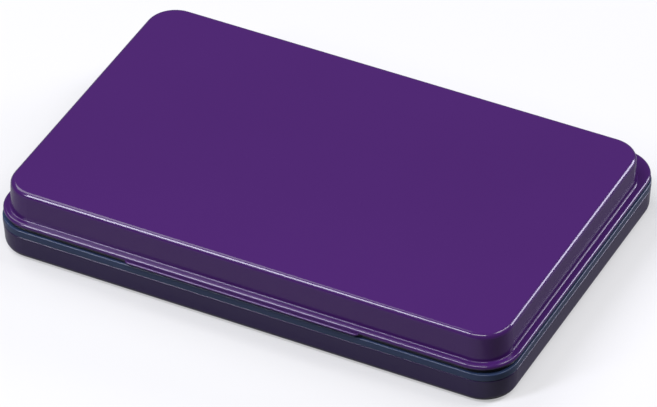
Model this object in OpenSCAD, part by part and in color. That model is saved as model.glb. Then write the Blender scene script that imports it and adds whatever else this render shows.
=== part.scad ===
// Hinged office ink pad: a pressed steel case, a moulded tray and a cloth-covered pad.
// Millimetres, +Z up. The origin is the centre of the flat face that the base rests on.
// The hinge is along the back (+Y) and the finger lip along the front (-Y).

/* [Case] */
// Length of the closed case over the lid flange
case_l = 127; // [118:1:134]
// Depth of the closed case over the lid flange, without the lip and the hinge
case_w = 84.5; // [80:0.5:90]
// How much wider the flange is along the back than along the front
back_land = 3.5; // [2:0.5:5]
// Height of the closed case
case_h = 17.5; // [17:0.1:18]
// Corner radius of the lid flange, seen from above
corner_r = 9; // [8.5:0.1:10]
// Thickness of the pressed steel sheet
sheet = 0.4; // [0.35:0.05:0.45]

/* [Lid] */
// Outer radius of the curled edge round the flange
curl_r = 0.65; // [0.6:0.05:0.8]
// Flat width of the flange between the curl and the rounding at the foot of the wall
flange_flat = 0.7; // [0.5:0.1:0.9]
// Rounding between the flange and the lid wall
foot_r = 0.3; // [0.3:0.05:0.5]
// Rounding along the top edge of the lid
top_r = 1.3; // [1.2:0.1:1.5]
// Lean of the lid wall, in degrees
lid_draft = 2.5; // [1.5:0.5:3]
// Length of the finger lip
lip_l = 58; // [40:1:70]
// How far the finger lip stands out from the curl
lip_out = 0.75; // [0.5:0.05:1.2]

/* [Base and tray] */
// Height of the steel wall of the base
base_h = 6.3; // [6.2:0.1:6.6]
// Rounding along the bottom edge of the base
base_r = 2; // [1.5:0.1:2.2]
// Lean of the base wall, in degrees
base_draft = 3.4; // [2:0.2:4]
// Height of the tray rim that shows as a band between base and lid
rim_h = 1.85; // [1.75:0.05:1.95]
// How far the tray rim stands out from the base wall
rim_out = 0.05; // [0:0.05:0.3]
// Wall thickness of the moulded tray
tray_t = 1; // [0.9:0.1:1.2]

/* [Pad] */
// Length of the inking face
pad_l = 106; // [90:1:108]
// Depth of the inking face
pad_w = 67; // [50:1:69]
// Corner radius of the inking face
pad_r = 3; // [2:0.5:5]
// Height of the inking face above the tray rim
pad_rise = 1.6; // [1:0.1:2]
// Thickness of the woven cover
cloth_t = 0.4; // [0.3:0.1:0.5]

/* [Hinge] */
// Radius of the steel pins
pin_r = 0.6; // [0.5:0.05:0.6]
// Distance of each hinge from the middle of the case
hinge_x = 32; // [24:1:40]
// Length of the knuckle on the base
base_knuckle_l = 8; // [6:0.5:10]
// Length of each of the two lid knuckles of one hinge
lid_knuckle_l = 4.8; // [4:0.2:6]

/* [Hidden] */
$fn = 64;
bleed = 0.2;            // how far joined solids run into each other
fit = 0.1;              // side clearance between parts that slip into each other

// Outlines: half length and half depth. Profiles are drawn with x = 0 on the outline.
case_half = [case_l / 2, case_w / 2];           // lid flange
tray_half = case_half - [fit, fit];             // tray rim and base
tray_corner = corner_r - 1;
box_half = case_half - [0, back_land / 2];      // raised part of the lid, which lies further forward
box_y = -back_land / 2;                         // middle of the raised part and of the pad under it

// Levels from the table up
ridge_h = 0.5;                                  // stiffening ridge pressed into the base floor
tray_z = sheet + ridge_h;                       // underside of the tray
floor_z = tray_z + tray_t;                      // tray floor, under the felt
rim_z = base_h + rim_h;                         // top of the tray rim, where the lid liner closes
frame_t = 0.9;                                  // plate thickness of the pad frame
deck_drop = 0.5;                                // how far that plate lies below the tray rim
deck_z = rim_z - deck_drop;                     // top of the pad frame's plate
frame_z = deck_z - frame_t;                     // underside of the pad frame
felt_z = frame_z - cloth_t;                     // top of the felt and of the pocket wall
pad_z = rim_z + pad_rise;                       // top of the woven cover
seal_t = 0.6;                                   // thickness of the liner's sealing rim
seal_gap = 0.3;                                 // air between the sealing rim and the curled edge
curl_z = rim_z + seal_t + seal_gap + curl_r;    // centre of the lid's curled edge
flange_z = curl_z + curl_r;                     // top of the lid flange

// Lid wall: centres of the roundings at its foot and its top
foot_c = [-curl_r - flange_flat, flange_z + foot_r];
top_cz = case_h - top_r;
top_c = [foot_c.x - (top_r + foot_r + (top_cz - foot_c.y) * sin(lid_draft)) / cos(lid_draft), top_cz];

// Hinge: the axis is at half height, so the open lid lies level with the base
axis_z = case_h / 2;
running_fit = 0.05;                             // radial clearance of the lid knuckles on the pin
barrel_r = pin_r + running_fit + sheet;
swing_gap = 0.35;                               // clearance between the case and the barrels
axis_y = case_w / 2 + barrel_r + swing_gap;
knuckle_gap = 0.2;
pin_end = 0.2;                                  // how far the pin shows past each outer knuckle
pin_l = base_knuckle_l + 2 * (lid_knuckle_l + knuckle_gap + pin_end);

// Felt pocket in the tray and window in the frame
window = [pad_l / 2, pad_w / 2];
pocket_side = 1.3;                              // how far the pocket runs under the frame
pocket = window + [pocket_side, pocket_side];
pocket_r = pad_r + 0.3;
hem = 1.7;                                      // how far the cover's hem reaches over the pocket wall
frame_in = rim_out + sheet + tray_t + 0.2;      // frame edge, inwards from the tray outline
crown_r = 1.2;                                  // rounding round the top of the cover

purple = [80, 42, 115] / 255;
dark_purple = [62, 50, 84] / 255;
slate = [52, 60, 86] / 255;
charcoal = [34, 38, 50] / 255;
ink = [44, 20, 74] / 255;
steel = [185, 187, 192] / 255;

// A wall leans out by a degrees and passes through p = [offset, height].
// Offset of the centre, at height cz, of the rounding of radius r that the wall runs into:
function rounding_x(p, cz, r, a) = p.x - (r + (p.y - cz) * sin(a)) / cos(a);
function lean(a) = [cos(a), sin(a)];

// Carries a wall profile round a rounded rectangle
module sweep(half, r) {
    for (q = [0:3]) {
        out = q % 2 == 0 ? half.x : half.y;
        run = q % 2 == 0 ? half.y : half.x;
        rotate(90 * q) {
            translate([out, 0, 0]) rotate([90, 0, 0])
                linear_extrude(height = 2 * (run - r), center = true) children();
            translate([out - r, run - r, 0])
                rotate_extrude(angle = 90) translate([r, 0]) children();
        }
    }
}

// Flat plate with rounded corners, grown outwards by d
module slab(half, r, d, z0, z1) {
    translate([0, 0, z0]) linear_extrude(height = z1 - z0) {
        square(2 * (half + [d, -r]), center = true);
        square(2 * (half + [-r, d]), center = true);
        for (sx = [-1, 1], sy = [-1, 1])
            translate([sx * (half.x - r), sy * (half.y - r)]) circle(r + d);
    }
}

// Band between two radii, from angle a0 to angle a1
module arc_band(c, r0, r1, a0, a1) {
    reach = 3 * r1;
    translate(c) intersection() {
        difference() {
            circle(r1);
            if (r0 > 0) circle(r0);
        }
        polygon([[0, 0], for (i = [0:4]) reach * lean(a0 + (a1 - a0) * i / 4)]);
    }
}

// Upright bar whose two outer corners are rounded
module bar(x0, x1, z0, z1, r) {
    translate([x0, z0]) square([x1 - r - x0, z1 - z0]);
    translate([x0, z0 + r]) square([x1 - x0, z1 - z0 - 2 * r]);
    for (z = [z0 + r, z1 - r]) translate([x1 - r, z]) circle(r);
}

// Upright bar with a fully round top
module round_top_bar(x0, x1, z0, z1) {
    r = (x1 - x0) / 2;
    translate([x0, z0]) square([x1 - x0, z1 - r - z0]);
    translate([x0 + r, z1 - r]) circle(r);
}

// ---- hinge ----

// Round bar on the hinge axis
module on_axis(x0, len, r) {
    translate([x0, axis_y, axis_z]) rotate([0, 90, 0]) cylinder(r = r, h = len);
}

module knuckle(x0, len, bore) {
    difference() {
        on_axis(x0, len, barrel_r);
        on_axis(x0 - 1, len + 2, bore);
    }
}

// Leaf that runs back from the case at height z0 and meets its knuckle
module leaf(x0, len, y0, z0) {
    difference() {
        translate([x0, y0, z0]) cube([len, axis_y - y0, sheet]);
        on_axis(x0 - 1, len + 2, pin_r + running_fit);
    }
}

module hinge_pin(x) {
    tip = 0.2;
    color(steel) translate([x - pin_l / 2, axis_y, axis_z]) rotate([0, 90, 0]) {
        translate([0, 0, tip]) cylinder(r = pin_r, h = pin_l - 2 * tip);
        cylinder(r1 = pin_r - tip, r2 = pin_r, h = tip);
        translate([0, 0, pin_l - tip]) cylinder(r1 = pin_r, r2 = pin_r - tip, h = tip);
    }
}

// ---- base ----

base_top = [-rim_out, base_h];
base_cx = rounding_x(base_top, base_r, base_r, base_draft);

module base_profile() {
    c = [base_cx, base_r];
    hair = 0.001;                       // lets the wall's lines cross the roundings instead of touching them
    edge_z = base_h - sheet / 2 - hair; // centre of the rounding along the sheet's upper edge
    // The wall's face, d inside the sheet: its foot, and its point at the height of edge_z
    function face_foot(d) = c + (base_r - d - hair) * lean(-base_draft);
    function face_top(d) = [face_foot(d).x + (edge_z - face_foot(d).y) * tan(base_draft), edge_z];
    // Everything that this face encloses
    module inside(d) {
        translate(c) circle(base_r - d);
        polygon([c - [1, 0], face_foot(d), face_top(d), [c.x - 1, edge_z]]);
    }
    intersection() {
        difference() {
            inside(0);
            inside(sheet);
        }
        translate([c.x, -1]) square([2 * base_r, base_h + 1]);
    }
    translate(face_top(sheet / 2)) circle(sheet / 2 + hair);
    translate([c.x - bleed, 0]) square([bleed, sheet]);
}

// Trapezoid under (d = 0) and over (d = sheet) the pressed ridge
module ridge(d) {
    mid = -6;                   // its middle line, inwards from the outline
    foot = 1.2 + d / 2;         // half width at the floor
    crest = 0.7 + d / 2;        // half width at the top
    low = d > 0 ? 0 : -1;
    high = ridge_h + d;
    polygon([[mid - foot, low], [mid - foot, 0], [mid - crest, high],
             [mid + crest, high], [mid + foot, 0], [mid + foot, low]]);
}

module base_shell() {
    wall_y = case_w / 2 - fit - rim_out;
    color(dark_purple) {
        difference() {
            union() {
                sweep(tray_half, tray_corner) base_profile();
                slab(tray_half, tray_corner, base_cx, 0, sheet);
                sweep(tray_half, tray_corner) ridge(sheet);
            }
            sweep(tray_half, tray_corner) ridge(0);
        }
        for (x = [-hinge_x, hinge_x]) {
            x0 = x - base_knuckle_l / 2;
            leaf_z = axis_z - barrel_r;
            difference() {
                union() {
                    translate([x0, wall_y - sheet, base_h - 2 * bleed])
                        cube([base_knuckle_l, sheet, leaf_z + sheet - base_h + 2 * bleed]);
                    leaf(x0, base_knuckle_l, wall_y - sheet, leaf_z);
                    knuckle(x0, base_knuckle_l, pin_r);
                }
                on_axis(x0 - 1, base_knuckle_l + 2, pin_r);
            }
        }
    }
}

// ---- tray and pad ----

tray_side = [-rim_out - sheet - fit, base_h];   // outer face of the tray wall at the top of the base
tray_corner_r = 0.9;
tray_cx = rounding_x(tray_side, tray_z + tray_corner_r, tray_corner_r, base_draft);

module tray_profile() {
    c = [tray_cx, tray_z + tray_corner_r];
    foot = c + tray_corner_r * lean(-base_draft);
    top = [foot.x + (rim_z - foot.y) * tan(base_draft), rim_z];
    polygon([c, foot, top, top - [tray_t, 0], c - [tray_t - tray_corner_r, 0]]);
    arc_band(c, 0, tray_corner_r, -90, -base_draft);
    translate([c.x - tray_t, tray_z]) square([tray_t, tray_corner_r]);
    bar(tray_side.x - bleed, 0, base_h, rim_z, 0.3);
}

module pad_tray() {
    pocket_t = 1;
    rib_t = 1;
    rib_h = frame_z - floor_z + bleed;
    moat_x = pocket.x + pocket_t;
    moat_y = pocket.y + pocket_t;
    inner = tray_half - [frame_in, frame_in];
    notch_l = base_knuckle_l + 0.6;
    color(slate) {
        difference() {
            sweep(tray_half, tray_corner) tray_profile();
            for (x = [-hinge_x, hinge_x])
                translate([x - notch_l / 2, tray_half.y + tray_side.x + fit / 2, base_h - 1])
                    cube([notch_l, 2, rim_h + 2]);
        }
        slab(tray_half, tray_corner, tray_cx, tray_z, floor_z);
        translate([0, box_y, 0]) sweep(pocket, pocket_r)
            translate([0, floor_z - bleed]) square([pocket_t, felt_z - floor_z + bleed]);
        for (k = [-1.5:1:1.5], span = [[-inner.y, box_y - moat_y], [box_y + moat_y, inner.y]])
            translate([k * pad_l / 4 - rib_t / 2, span[0] - bleed, floor_z - bleed])
                cube([rib_t, span[1] - span[0] + 2 * bleed, rib_h]);
        for (k = [-1, 0, 1], x = [-inner.x, moat_x])
            translate([x - bleed, box_y + k * pad_w / 3 - rib_t / 2, floor_z - bleed])
                cube([inner.x - moat_x + 2 * bleed, rib_t, rib_h]);
    }
}

module ink_felt() {
    color([150, 140, 165] / 255) translate([0, box_y, 0]) slab(pocket, pocket_r, -fit, floor_z, felt_z);
}

// Block whose top edge is rounded, set inwards from the inking face by d
module pillow(d, r, z0, z1) {
    slab(window, pad_r, -d, z0, z1 - r);
    slab(window, pad_r, -d - r, z0, z1);
    sweep(window, pad_r) arc_band([-d - r, z1 - r], 0, r, 0, 90);
}

module sponge_layer() {
    color([200, 190, 205] / 255) translate([0, box_y, 0])
        pillow(2 * fit + cloth_t, crown_r - cloth_t - fit, felt_z, pad_z - cloth_t);
}

// Crown over the sponge, with a hem that the frame clamps on the pocket wall
module pad_cloth() {
    color(ink) translate([0, box_y, 0]) difference() {
        union() {
            slab(window, pad_r, hem, felt_z, frame_z);
            pillow(fit, crown_r, felt_z, pad_z);
        }
        pillow(fit + cloth_t, crown_r - cloth_t, felt_z - 1, pad_z - cloth_t);
    }
}

module pad_frame() {
    lip_t = 1.2;
    lip_h = 0.5;        // how far the lip stands above the tray rim
    color(charcoal) {
        difference() {
            slab(tray_half, tray_corner, -frame_in, frame_z, deck_z);
            translate([0, box_y, 0]) slab(window, pad_r, 0, frame_z - 1, deck_z + 1);
        }
        translate([0, box_y, 0]) sweep(window, pad_r) round_top_bar(0, lip_t, frame_z, rim_z + lip_h);
    }
}

// ---- lid ----

module lid_wall_profile() {
    n = lean(lid_draft);
    foot = foot_c - foot_r * n;
    top = top_c + top_r * n;
    polygon([foot, top, top - sheet * n, foot - sheet * n]);
    arc_band(top_c, top_r - sheet, top_r, lid_draft, 90);
    arc_band(foot_c, foot_r, foot_r + sheet, 180 + lid_draft, 270);
    translate([foot_c.x, flange_z - sheet]) square([flange_flat, sheet]);
    translate([top_c.x - bleed, case_h - sheet]) square([bleed, sheet]);
}

module curl_profile() {
    arc_band([-curl_r, curl_z], curl_r - sheet, curl_r, -140, 90);
    translate([-curl_r - bleed, flange_z - sheet]) square([bleed, sheet]);
}

// Plate between the case outline and the outline of the raised part, inwards from each by d_out and d_in
module land(d_out, d_in, z0, z1) {
    difference() {
        slab(case_half, corner_r, -d_out, z0, z1);
        translate([0, box_y, 0]) slab(box_half, corner_r, -d_in, z0 - 1, z1 + 1);
    }
}

// Tongue with a rolled nose, carried round its two front corners
module finger_lip() {
    nose = 0.27;
    web = 0.34;
    reach = lip_out + sheet;
    lip_z = curl_z - curl_r / 2;
    module strip() {
        translate([0, lip_z - nose]) square([reach - nose, web]);
        translate([reach - nose, lip_z]) circle(nose);
    }
    translate([0, -case_w / 2 + sheet, 0]) {
        rotate([90, 0, -90]) linear_extrude(height = lip_l - 2 * reach, center = true) strip();
        for (s = [0, 1])
            translate([(s - 0.5) * (lip_l - 2 * reach), 0, 0])
                rotate(s == 1 ? -90 : 180) rotate_extrude(angle = 90) strip();
    }
}

module lid_shell() {
    color(purple) {
        translate([0, box_y, 0]) {
            sweep(box_half, corner_r) lid_wall_profile();
            slab(box_half, corner_r, top_c.x, case_h - sheet, case_h);
        }
        land(curl_r, curl_r + bleed, flange_z - sheet, flange_z);
        sweep(case_half, corner_r) curl_profile();
        finger_lip();
        for (x = [-hinge_x, hinge_x], s = [-1, 1]) {
            inner = base_knuckle_l / 2 + knuckle_gap;
            x0 = s > 0 ? x + inner : x - inner - lid_knuckle_l;
            leaf(x0, lid_knuckle_l, case_w / 2 - sheet, axis_z + barrel_r - sheet);
            knuckle(x0, lid_knuckle_l, pin_r + running_fit);
        }
    }
}

module lid_liner() {
    t = 0.8;
    seal_in = 0.6;      // edge of the sealing rim, inwards from the flange outline
    r = top_r - sheet - fit;
    c = top_c + [0, fit];
    top = c + r * lean(lid_draft);
    spread = (top.y - rim_z) * tan(lid_draft);
    foot_x = top.x + spread;
    color(charcoal) {
        translate([0, box_y, 0]) {
            sweep(box_half, corner_r) {
                arc_band(c, 0, r, lid_draft, 90);
                translate([c.x - bleed, c.y]) square([bleed, r]);
                polygon([c, top, [foot_x, rim_z], [foot_x - t, rim_z]]);
            }
            slab(box_half, corner_r, c.x, case_h - sheet - t, case_h - sheet);
        }
        land(seal_in + t / 2, t / 2 - foot_x, rim_z, rim_z + seal_t);
        sweep(case_half, corner_r) bar(-seal_in - t, -seal_in, rim_z, rim_z + seal_t, seal_t / 2.4);
    }
}

base_shell();
pad_tray();
ink_felt();
sponge_layer();
pad_cloth();
pad_frame();
hinge_pin(-hinge_x);  // hinge_pin_left
hinge_pin(hinge_x);  // hinge_pin_right
lid_shell();
lid_liner();
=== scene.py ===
"""The look of the ink pad: camera, light, materials and the soft pieces inside the case."""
import bmesh
import bpy
from math import cos, hypot, pi, radians, sin, sqrt
from mathutils import Matrix, Vector


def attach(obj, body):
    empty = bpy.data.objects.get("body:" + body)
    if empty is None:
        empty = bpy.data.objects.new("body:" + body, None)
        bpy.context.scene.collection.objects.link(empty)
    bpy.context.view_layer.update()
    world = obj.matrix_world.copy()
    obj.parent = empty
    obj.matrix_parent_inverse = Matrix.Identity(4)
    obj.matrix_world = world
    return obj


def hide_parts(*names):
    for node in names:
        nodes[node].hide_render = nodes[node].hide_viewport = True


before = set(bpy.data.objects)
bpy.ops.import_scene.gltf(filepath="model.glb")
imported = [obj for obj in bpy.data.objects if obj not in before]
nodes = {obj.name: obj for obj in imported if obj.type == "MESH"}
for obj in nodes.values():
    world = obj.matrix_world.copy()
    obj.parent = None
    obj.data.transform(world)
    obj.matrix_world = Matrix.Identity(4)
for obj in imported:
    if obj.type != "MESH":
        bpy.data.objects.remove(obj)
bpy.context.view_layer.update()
scene = bpy.context.scene
MM = 0.001

# ---- camera ----

AZIMUTH, ELEVATION, ROLL = 27.22, 38.42, -0.63   # degrees
LENS = 329.6                                     # millimetres on a 36 mm sensor
DISTANCE = 1.3538
CENTRE = Vector((0, -0.00175, 0))                # on the table, under the middle of the lid's raised part
AIM_RIGHT, AIM_UP = 0.00084, 0.00536             # from there, across the view


def turned(azimuth, elevation):
    """Unit vector from the object towards a place seen at that azimuth and elevation."""
    a, e = radians(azimuth), radians(elevation)
    return Vector((sin(a) * cos(e), -cos(a) * cos(e), sin(e)))


def make_camera():
    back = turned(AZIMUTH, ELEVATION)
    level = (-back).cross(Vector((0, 0, 1))).normalized()
    upright = level.cross(-back)
    roll = radians(ROLL)
    right = level * cos(roll) + upright * sin(roll)
    up = upright * cos(roll) - level * sin(roll)
    data = bpy.data.cameras.new("camera")
    data.lens = LENS
    data.sensor_width = 36
    camera = bpy.data.objects.new("camera", data)
    scene.collection.objects.link(camera)
    place = CENTRE + back * DISTANCE + right * AIM_RIGHT + up * AIM_UP
    camera.matrix_world = Matrix.Translation(place) @ Matrix((right, up, back)).transposed().to_4x4()
    scene.camera = camera


# ---- light ----

def softbox(name, azimuth, elevation, distance, size, power, tint=(1, 1, 1)):
    """Rectangular light that faces the middle of the object, in degrees, metres and watts."""
    data = bpy.data.lights.new(name, "AREA")
    data.shape = "RECTANGLE"
    data.size, data.size_y = size
    data.energy = power
    data.color = tint
    light = bpy.data.objects.new(name, data)
    scene.collection.objects.link(light)
    direction = turned(azimuth, elevation)
    light.location = direction * distance
    light.rotation_mode = "QUATERNION"
    light.rotation_quaternion = direction.to_track_quat("Z", "Y")


COOL = (0.95, 0.95, 1.1)
COLD = (0.97, 0.94, 1.15)


def make_light():
    """An arc of softboxes from the front left over the top to the back right.

    It draws the bright line that runs along the front edges, round the corner and up the right edges.
    """
    world = bpy.data.worlds.new("studio")
    world.use_nodes = True
    background = world.node_tree.nodes["Background"]
    background.inputs["Color"].default_value = (0.80, 0.83, 0.90, 1)
    background.inputs["Strength"].default_value = 0.08
    scene.world = world
    softbox("left", -105, 55, 1.1, (0.60, 0.60), 4.6)
    softbox("front", -36, 46, 1.1, (0.18, 0.72), 7.8, COOL)
    softbox("over", 12, 64, 1.1, (0.58, 0.22), 5.0)
    softbox("right_over", 112, 58, 1.1, (0.30, 0.30), 2.5)
    softbox("right_high", 132, 45, 1.2, (0.20, 0.40), 2.2)
    softbox("back_right", 143, 18, 1.2, (0.45, 0.42), 7.4, COLD)


# ---- materials ----

class Shader:
    """A new material with its Principled shader, and short forms for adding and joining nodes."""

    def __init__(self, name, colour, roughness, **constants):
        self.material = bpy.data.materials.new(name)
        self.material.use_nodes = True
        self.tree = self.material.node_tree
        self.bsdf = self.tree.nodes["Principled BSDF"]
        self.set("Base Color", (*colour, 1))
        self.set("Roughness", roughness)
        for socket, value in constants.items():
            self.set(socket.replace("_", " "), value)

    def set(self, socket, value):
        self.bsdf.inputs[socket].default_value = value

    def add(self, kind, **inputs):
        node = self.tree.nodes.new(kind)
        for name, value in inputs.items():
            node.inputs[name.replace("_", " ")].default_value = value
        return node

    def join(self, out, into):
        self.tree.links.new(out, into)

    def place(self):
        """The point on the piece in its own space, in metres."""
        return self.add("ShaderNodeTexCoord").outputs["Object"]

    def axes(self):
        """X, Y and Z of that point."""
        split = self.add("ShaderNodeSeparateXYZ")
        self.join(self.place(), split.inputs["Vector"])
        return split.outputs

    def noise(self, scale, detail=2.0, roughness=0.5):
        node = self.add("ShaderNodeTexNoise", Scale=scale, Detail=detail, Roughness=roughness)
        self.join(self.place(), node.inputs["Vector"])
        return node.outputs["Fac"]

    def maths(self, operation, *values):
        node = self.add("ShaderNodeMath")
        node.operation = operation
        for socket, value in zip(node.inputs, values):
            if isinstance(value, (int, float)):
                socket.default_value = value
            else:
                self.join(value, socket)
        return node.outputs[0]

    def ramp(self, value, low, high, start=0.0, end=1.0):
        """value, from start to end, carried to the range low to high."""
        node = self.add("ShaderNodeMapRange", From_Min=start, From_Max=end, To_Min=low, To_Max=high)
        self.join(value, node.inputs["Value"])
        return node.outputs["Result"]

    def tint(self, value, colour_a, colour_b):
        """Base colour that goes from colour_a to colour_b with value."""
        node = self.add("ShaderNodeMix")
        node.data_type = "RGBA"
        sockets = {socket.identifier: socket for socket in (*node.inputs, *node.outputs)}
        sockets["A_Color"].default_value = (*colour_a, 1)
        sockets["B_Color"].default_value = (*colour_b, 1)
        self.join(value, sockets["Factor_Float"])
        self.join(sockets["Result_Color"], self.bsdf.inputs["Base Color"])

    def bump(self, height, depth):
        """Adds relief of that depth, in metres, on top of what is there."""
        node = self.add("ShaderNodeBump", Distance=depth)
        self.join(height, node.inputs["Height"])
        normal = self.bsdf.inputs["Normal"]
        if normal.links:
            self.join(normal.links[0].from_socket, node.inputs["Normal"])
        self.join(node.outputs["Normal"], normal)


def shade(colour, factor):
    return tuple(c * factor for c in colour)


def enamel(name, colour):
    """Satin enamel on steel: an even colour with a faint cloud, and a very shallow orange peel."""
    s = Shader(name, colour, 0.15, Specular_IOR_Level=0.48)
    s.tint(s.noise(18, 3), shade(colour, 0.94), shade(colour, 1.06))
    s.join(s.ramp(s.noise(60, 4), 0.13, 0.17), s.bsdf.inputs["Roughness"])
    s.bump(s.noise(700, 2), 0.000003)
    return s.material


def moulded(name, colour, roughness):
    """Moulded plastic with a fine sparked grain."""
    s = Shader(name, colour, roughness, Specular_IOR_Level=0.35)
    s.tint(s.noise(35, 3), shade(colour, 0.9), shade(colour, 1.1))
    s.join(s.ramp(s.noise(2500, 3), roughness - 0.05, roughness + 0.05), s.bsdf.inputs["Roughness"])
    s.bump(s.noise(4500, 3, 0.6), 0.00001)
    return s.material


def drawn_steel(name):
    s = Shader(name, (0.55, 0.56, 0.58), 0.3, Metallic=1.0)
    s.join(s.ramp(s.noise(3000, 2), 0.22, 0.4), s.bsdf.inputs["Roughness"])
    s.bump(s.noise(6000, 2), 0.00001)
    return s.material


def woven(name, thread, shaded_gap):
    """Plain weave soaked with ink: round threads that pass over and under each other. The low gaps between
    threads get painted shade, and a noise adds ink stain.
    """
    pitch = 0.00042
    s = Shader(name, thread, 0.5, Specular_IOR_Level=0.3, Sheen_Weight=0.04, Sheen_Roughness=0.4)
    axes = s.axes()
    across, along = (s.maths("SINE", s.maths("MULTIPLY", axes[axis], pi / pitch)) for axis in "XY")
    over = s.maths("MULTIPLY", across, along)
    warp = s.maths("MULTIPLY", s.maths("ABSOLUTE", across), s.maths("MULTIPLY_ADD", over, 0.5, 0.5))
    weft = s.maths("MULTIPLY", s.maths("ABSOLUTE", along), s.maths("MULTIPLY_ADD", over, -0.5, 0.5))
    height = s.maths("MAXIMUM", warp, weft)
    stain = s.maths("MULTIPLY_ADD", s.noise(60, 4), 1.6, -0.6)
    # Painted shade in the low parts of the weave, mixed with ink stain from the noise.
    s.tint(s.maths("MULTIPLY", height, s.maths("ADD", stain, 0.6)), shaded_gap, thread)
    s.join(s.ramp(s.noise(90, 3), 0.38, 0.62), s.bsdf.inputs["Roughness"])
    s.bump(s.noise(9000, 2), 0.00002)
    s.bump(height, 0.00014)
    return s.material


def foam(name, colour):
    """Open-cell foam: small pores with lighter walls."""
    s = Shader(name, colour, 0.85, Specular_IOR_Level=0.2)
    pores = s.add("ShaderNodeTexVoronoi", Scale=1900)
    s.join(s.place(), pores.inputs["Vector"])
    s.tint(s.ramp(pores.outputs["Distance"], 1.0, 0.0), shade(colour, 0.35), shade(colour, 1.25))
    s.bump(pores.outputs["Distance"], 0.00025)
    return s.material


def felted(name, colour):
    """Pressed wool: fibres in all directions, soaked unevenly."""
    s = Shader(name, colour, 0.9, Specular_IOR_Level=0.15, Sheen_Weight=0.3, Sheen_Roughness=0.6)
    fibres = s.noise(2600, 6, 0.75)
    s.tint(s.maths("MULTIPLY_ADD", s.noise(60, 3), 0.6, s.maths("MULTIPLY", fibres, 0.4)),
           shade(colour, 0.55), shade(colour, 1.4))
    s.bump(fibres, 0.0002)
    return s.material


PURPLE = (0.0515, 0.0128, 0.106)
BASE_PURPLE = (0.022, 0.009, 0.061)
SLATE = (0.025, 0.041, 0.092)
CHARCOAL = (0.004, 0.007, 0.015)
INK = (0.032, 0.005, 0.080)
STAINED_FOAM = (0.30, 0.22, 0.36)
SOAKED_WOOL = (0.10, 0.06, 0.17)
PAPER = (0.37, 0.37, 0.375)


def dress(node, material):
    for material_slot in nodes[node].material_slots:
        material_slot.material = material


def dress_cad():
    dress("lid_shell", enamel("lid_enamel", PURPLE))
    dress("base_shell", enamel("base_enamel", BASE_PURPLE))
    dress("pad_tray", moulded("tray_plastic", SLATE, 0.24))
    dress("pad_frame", moulded("frame_plastic", CHARCOAL, 0.36))
    dress("lid_liner", moulded("liner_plastic", CHARCOAL, 0.40))
    steel = drawn_steel("pin_steel")
    dress("hinge_pin_left", steel)
    dress("hinge_pin_right", steel)


# ---- soft pieces ----

# Millimetres. The window of the frame, and heights from the table.
HALF_L, HALF_W, CORNER = 53.0, 33.5, 3.0
MIDDLE_Y = -1.75
FELT_FOOT, FELT_Z, HEM_Z, FACE_Z = 1.92, 6.35, 6.7, 9.75
CROWN = 0.28                                 # how much higher the middle of the inking face is than its rim
COVER_T, COVER_ROOM = 0.34, 0.42             # the cover, and the room that the sponge leaves for it


def steps(half, edge, rim, pitch):
    """Distances from -half to half, close together within rim of each end and edge for the first ones."""
    side = [0.0]
    while side[-1] < rim:
        side.append(side[-1] + edge * (1 + 0.35 * len(side)))
    side = [d for d in side if d < rim] + [rim]
    count = max(2, round(2 * (half - rim) / pitch))
    middle = [-half + rim + 2 * (half - rim) * i / count for i in range(1, count)]
    return [-half + d for d in side] + middle + [half - d for d in reversed(side)]


def rounded(x, y, half, corner):
    """Carries a point of the full rectangle into the one with round corners."""
    cx, cy = half[0] - corner, half[1] - corner
    p, q = abs(x) - cx, abs(y) - cy
    if p <= 0 or q <= 0:
        return x, y
    scale = max(p, q) / hypot(p, q)
    return (cx + p * scale) * (1 if x > 0 else -1), (cy + q * scale) * (1 if y > 0 else -1)


def soft_face(name, inset, height, skirt, pitch=1.6):
    """Top of a soft block with round corners, and a skirt that leads down from its outline.

    height(x, y, d) is the height at x, y, d inwards from the outline. skirt lists how far each
    next loop stands out from the outline, and its height. All of it is in millimetres.
    """
    half, corner = (HALF_L - inset, HALF_W - inset), CORNER - inset
    xs, ys = (steps(h, 0.12, 3.0, pitch) for h in half)
    points, faces = [], []
    for y in ys:
        for x in xs:
            px, py = rounded(x, y, half, corner)
            points.append((px, py, height(px, py, min(half[0] - abs(x), half[1] - abs(y)))))
    n, m = len(xs), len(ys)
    for j in range(m - 1):
        for i in range(n - 1):
            k = j * n + i
            faces.append((k, k + 1, k + n + 1, k + n))
    loop = list(range(n)) + [j * n + n - 1 for j in range(1, m)]
    loop += [(m - 1) * n + i for i in range(n - 2, -1, -1)] + [j * n for j in range(m - 2, 0, -1)]
    outline = [points[k] for k in loop]
    for out, z in skirt:
        start = len(points)
        for x, y, _ in outline:
            p, q = max(abs(x) - half[0] + corner, 0), max(abs(y) - half[1] + corner, 0)
            r = hypot(p, q)
            points.append((x + out * p / r * (1 if x > 0 else -1), y + out * q / r * (1 if y > 0 else -1), z))
        ring = list(range(start, start + len(loop)))
        for i in range(len(loop)):
            j = (i + 1) % len(loop)
            faces.append((loop[i], ring[i], ring[j], loop[j]))
        loop = ring
    mesh = bpy.data.meshes.new(name)
    mesh.from_pydata([(x * MM, (y + MIDDLE_Y) * MM, z * MM) for x, y, z in points], [], faces)
    return mesh, loop


def finish_piece(name, mesh, material, node):
    mesh.materials.append(material)
    mesh.shade_smooth()
    piece = bpy.data.objects.new(name, mesh)
    scene.collection.objects.link(piece)
    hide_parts(node)
    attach(piece, "base")
    return piece


def round_edge(d, r):
    """How far a rounded edge of radius r lies below the face, d inwards from the outline."""
    return r - sqrt(max(0.0, r * r - max(0.0, r - d) ** 2))


def crown(x, y):
    """The sponge presses the middle of the face up."""
    return CROWN * (1 - (x / HALF_L) ** 2) * (1 - (y / HALF_W) ** 2)


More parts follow.
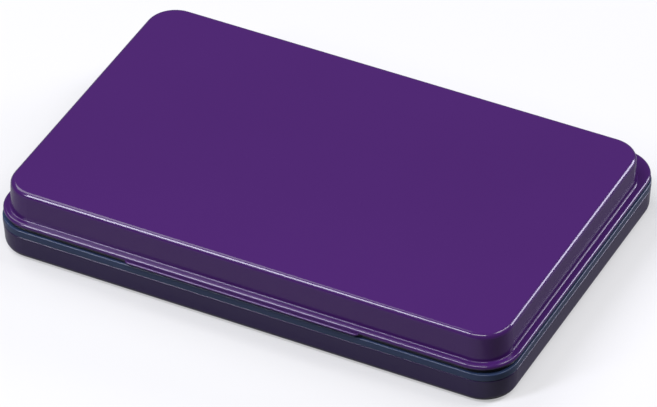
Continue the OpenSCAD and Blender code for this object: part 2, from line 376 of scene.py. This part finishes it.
def pucker(x, y, d):
    """Small folds that run in from the corners, where the cover is gathered under the frame."""
    p, q = HALF_L - abs(x), HALF_W - abs(y)
    reach = hypot(p, q)
    angle = 0 if reach == 0 else (p - q) / reach
    fade = max(0.0, 1 - reach / 9) ** 2 * min(1.0, d / 0.8)
    return 0.10 * fade * sin(angle * 9 + (1 if x * y > 0 else 2))


def slack(x, y):
    """Long shallow waves of a cover that isn't perfectly tight."""
    return 0.03 * sin(x * 0.21 + y * 0.13) * sin(y * 0.17 - x * 0.05 + 1)


def make_cover():
    def height(x, y, d):
        return FACE_Z - round_edge(d, 1.2) + crown(x, y) + pucker(x, y, d) + slack(x, y) * min(1.0, d / 3)
    drop = [(0, 8.2), (0, 7.6), (0, 7.05), (0.02, 6.86), (0.1, 6.74)]
    hem = [(out, HEM_Z) for out in (0.35, 1.0, 1.7)]
    mesh, _ = soft_face("inked_cover", 0.1, height, drop + hem)
    # The darker ink is painted shade for the gaps between threads, and also the colour of the stains.
    weave = woven("inked_weave", INK, shade(INK, 0.3))
    piece = finish_piece("inked_cover", mesh, weave, "pad_cloth")
    thick = piece.modifiers.new("thickness", "SOLIDIFY")
    thick.thickness = COVER_T * MM
    thick.offset = -1


def close_below(mesh, loop):
    """Closes the open end of a skirt with one face."""
    shape = bmesh.new()
    shape.from_mesh(mesh)
    shape.verts.ensure_lookup_table()
    shape.faces.new([shape.verts[k] for k in reversed(loop)])
    bmesh.ops.recalc_face_normals(shape, faces=shape.faces)
    shape.to_mesh(mesh)
    shape.free()


def make_sponge():
    def height(x, y, d):
        return FACE_Z - COVER_ROOM - round_edge(d, 0.7) + crown(x, y) * min(1.0, d / 4)
    mesh, loop = soft_face("sponge_block", 0.62, height, [(0, 8.0), (0.03, 7.4), (0, 6.8), (0, FELT_Z)])
    close_below(mesh, loop)
    piece = finish_piece("sponge_block", mesh, foam("sponge_foam", STAINED_FOAM), "sponge_layer")


def make_felt():
    def height(x, y, d):
        return FELT_Z - 0.02 - round_edge(d, 0.5)
    skirt = [(0.02, 5.0), (0.03, 4.0), (0.02, 3.0), (0, FELT_FOOT)]
    mesh, loop = soft_face("felt_block", -1.15, height, skirt)
    close_below(mesh, loop)
    piece = finish_piece("felt_block", mesh, felted("ink_wool", SOAKED_WOOL), "ink_felt")


# ---- floor ----

FLOOR_Z = -0.0002                        # a hair under the case, so that their faces don't coincide
PAINTED_SHADOW_START, PAINTED_SHADOW_END = 0.062, 0.070      # where, beside the right wall, painted shadow darkens the floor that reflections see


def lay_floor(name, z, by_camera):
    """Sheet of paper that only the camera or only reflections see, and that throws no light at the case."""
    bpy.ops.mesh.primitive_plane_add(size=8, location=(0, 0, z))
    floor = bpy.context.object
    floor.name = name
    floor.visible_diffuse = False
    floor.visible_shadow = False
    floor.visible_camera = by_camera
    floor.visible_glossy = not by_camera
    paper = Shader(name + "_paper", PAPER, 0.6, Specular_IOR_Level=0.2)
    floor.data.materials.append(paper.material)
    return paper


def make_floor():
    """Pale floor with a slight glow, and the one that reflections see, with painted shade: darker than the
    seen floor, and darker still on the right of the case as a painted shadow.
    """
    seen = lay_floor("floor", FLOOR_Z, True)
    seen.set("Emission Color", (1, 1, 1, 1))
    seen.set("Emission Strength", 0.42)
    mirrored = lay_floor("floor_in_gloss", 2 * FLOOR_Z, False)
    # Painted shade and shadow: the reflected floor is darker than the seen one, and darker still beside the
    # right wall.
    painted_shadow = mirrored.ramp(mirrored.axes()["X"], 0, 1, PAINTED_SHADOW_START, PAINTED_SHADOW_END)
    mirrored.tint(painted_shadow, shade(PAPER, 0.76), shade(PAPER, 0.38))


make_camera()
make_light()
make_floor()
dress_cad()
make_cover()
make_sponge()
make_felt()
scene.view_settings.view_transform = "Standard"
